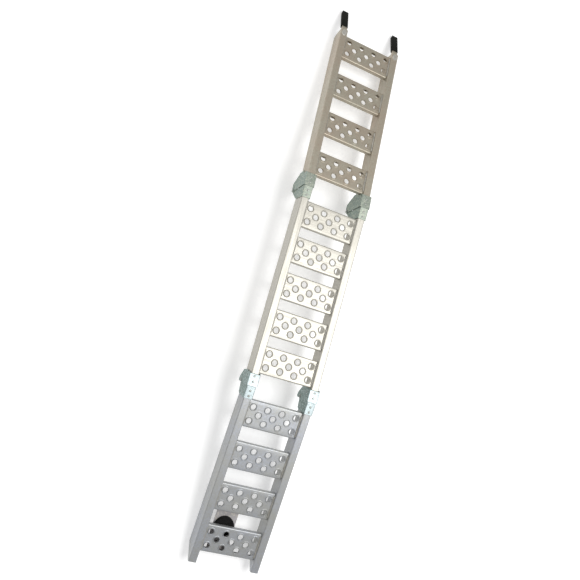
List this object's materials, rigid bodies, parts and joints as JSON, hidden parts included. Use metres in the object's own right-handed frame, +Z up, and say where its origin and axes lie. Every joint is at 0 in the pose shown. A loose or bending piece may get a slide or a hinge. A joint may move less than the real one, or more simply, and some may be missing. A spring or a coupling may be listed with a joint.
{
  "type": "folding dog ramp",
  "caption": "Narrow three-section folding aluminium ramp, slightly arched, with punched grip treads between two tube rails, fold-under hinges and rubber-tipped fingers.",
  "frame": {"origin": "on the floor under the middle of the bounding box, with the ramp standing unfolded on its feet and finger tips", "axes": "+Z up, +Y up the ramp towards the rubber-tipped fingers, +X to the right when looking up the ramp"},
  "size_m": [0.3106, 2.409, 0.1921],
  "materials": {
    "upper_aluminium": "brushed, warm grey, dull",
    "middle_aluminium": "brushed, bright",
    "lower_aluminium": "brushed, cool grey",
    "hinge_zinc": "zinc plated sheet, greenish grey, satin",
    "fastener_zinc": "zinc plated, satin",
    "tray_sheet": "mill finish sheet",
    "black_rubber": "matt black",
    "black_webbing": "woven black webbing"
  },
  "bodies": {
    "middle_section": {"middle_rail_left": "middle_aluminium", "middle_rail_right": "middle_aluminium", "middle_tread_1": "middle_aluminium", "middle_tread_2": "middle_aluminium", "middle_tread_3": "middle_aluminium", "middle_tread_4": "middle_aluminium", "middle_tread_5": "middle_aluminium", "lower_hinge_left_wide_bracket": "hinge_zinc", "lower_hinge_left_wide_rivet_1": "fastener_zinc", "lower_hinge_left_wide_rivet_2": "fastener_zinc", "lower_hinge_right_wide_bracket": "hinge_zinc", "lower_hinge_right_wide_rivet_1": "fastener_zinc", "lower_hinge_right_wide_rivet_2": "fastener_zinc", "lower_hinge_left_pin": "fastener_zinc", "lower_hinge_left_washer": "fastener_zinc", "lower_hinge_right_pin": "fastener_zinc", "lower_hinge_right_washer": "fastener_zinc", "upper_hinge_left_narrow_bracket": "hinge_zinc", "upper_hinge_left_narrow_rivet_1": "fastener_zinc", "upper_hinge_left_narrow_rivet_2": "fastener_zinc", "upper_hinge_right_narrow_bracket": "hinge_zinc", "upper_hinge_right_narrow_rivet_1": "fastener_zinc", "upper_hinge_right_narrow_rivet_2": "fastener_zinc"},
    "upper_section": {"upper_rail_left": "upper_aluminium", "finger_left": "upper_aluminium", "finger_sleeve_left": "black_rubber", "upper_rail_right": "upper_aluminium", "finger_right": "upper_aluminium", "finger_sleeve_right": "black_rubber", "upper_tread_1": "upper_aluminium", "upper_tread_2": "upper_aluminium", "upper_tread_3": "upper_aluminium", "upper_tread_4": "upper_aluminium", "upper_hinge_left_wide_bracket": "hinge_zinc", "upper_hinge_left_wide_rivet_1": "fastener_zinc", "upper_hinge_left_wide_rivet_2": "fastener_zinc", "upper_hinge_right_wide_bracket": "hinge_zinc", "upper_hinge_right_wide_rivet_1": "fastener_zinc", "upper_hinge_right_wide_rivet_2": "fastener_zinc", "upper_hinge_left_pin": "fastener_zinc", "upper_hinge_left_washer": "fastener_zinc", "upper_hinge_right_pin": "fastener_zinc", "upper_hinge_right_washer": "fastener_zinc"},
    "lower_section": {"lower_rail_left": "lower_aluminium", "lower_rail_right": "lower_aluminium", "lower_tread_1": "lower_aluminium", "lower_tread_2": "lower_aluminium", "lower_tread_3": "lower_aluminium", "lower_tread_4": "lower_aluminium", "lower_hinge_left_narrow_bracket": "hinge_zinc", "lower_hinge_left_narrow_rivet_1": "fastener_zinc", "lower_hinge_left_narrow_rivet_2": "fastener_zinc", "lower_hinge_right_narrow_bracket": "hinge_zinc", "lower_hinge_right_narrow_rivet_1": "fastener_zinc", "lower_hinge_right_narrow_rivet_2": "fastener_zinc", "strap_tray": "tray_sheet", "strap_coil": "black_webbing", "strap_clip": "black_rubber"}
  },
  "joints": [
    {"name": "upper_fold", "type": "hinge", "parent": "middle_section", "child": "upper_section", "pos_m": [0, 0.32507, 0.06372], "axis": [-1, 0, 0], "range_deg": [0, 169.5]},
    {"name": "lower_fold", "type": "hinge", "parent": "middle_section", "child": "lower_section", "pos_m": [0, -0.48673, 0.09868], "axis": [1, 0, 0], "range_deg": [0, 171]}
  ]
}
